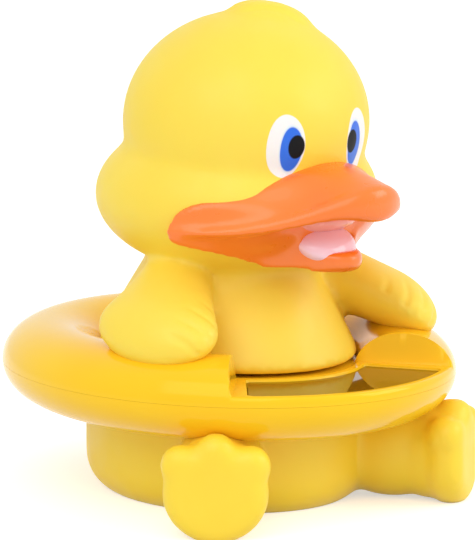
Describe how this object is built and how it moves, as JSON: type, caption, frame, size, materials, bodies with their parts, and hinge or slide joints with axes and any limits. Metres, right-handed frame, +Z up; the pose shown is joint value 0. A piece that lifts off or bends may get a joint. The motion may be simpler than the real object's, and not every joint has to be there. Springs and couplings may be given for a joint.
{
  "type": "baby bath thermometer",
  "caption": "Seated duck figure in an oval swim ring with a curved display window in front, a battery door and a metal sensor under the seat.",
  "frame": {"origin": "on the floor under the middle of the oval ring", "axes": "+Z up, the duck faces -Y, +X is its left side and the ring's short axis"},
  "size_m": [0.1, 0.1156, 0.1144],
  "materials": {
    "vinyl_yellow": "satin moulded vinyl",
    "gloss_yellow": "high gloss",
    "door_yellow": "fine moulded texture",
    "window_smoke": "smoked gloss",
    "mask_black": "matt",
    "lcd_grey": "polished",
    "rubber_grey": "matt",
    "board_green": "satin",
    "steel": "satin",
    "nickel": "bright",
    "resin_black": "satin",
    "lead_red": "satin",
    "lead_black": "satin",
    "lead_grey": "satin"
  },
  "bodies": {
    "root": {"duck_figure": "vinyl_yellow", "duck_seat": "vinyl_yellow", "ring_upper_shell": "gloss_yellow", "ring_lower_shell": "gloss_yellow", "ring_seal": "rubber_grey", "display_window": "window_smoke", "display_bezel": "mask_black", "lcd_glass": "lcd_grey", "elastomer_connector": "rubber_grey", "circuit_board": "board_green", "driver_chip": "resin_black", "board_screw_left": "steel", "board_screw_right": "steel", "shell_screw_back_left": "steel", "shell_screw_back_right": "steel", "shell_screw_front_left": "steel", "shell_screw_front_right": "steel", "battery_cell_left": "nickel", "battery_cell_right": "nickel", "contact_bridge": "nickel", "contact_positive": "nickel", "contact_negative": "nickel", "battery_door": "door_yellow", "door_seal": "rubber_grey", "door_screw_left": "steel", "door_screw_right": "steel", "sensor_cap": "steel", "thermistor": "resin_black", "sensor_lead": "lead_grey", "battery_lead_red": "lead_red", "battery_lead_black": "lead_black"}
  },
  "joints": []
}
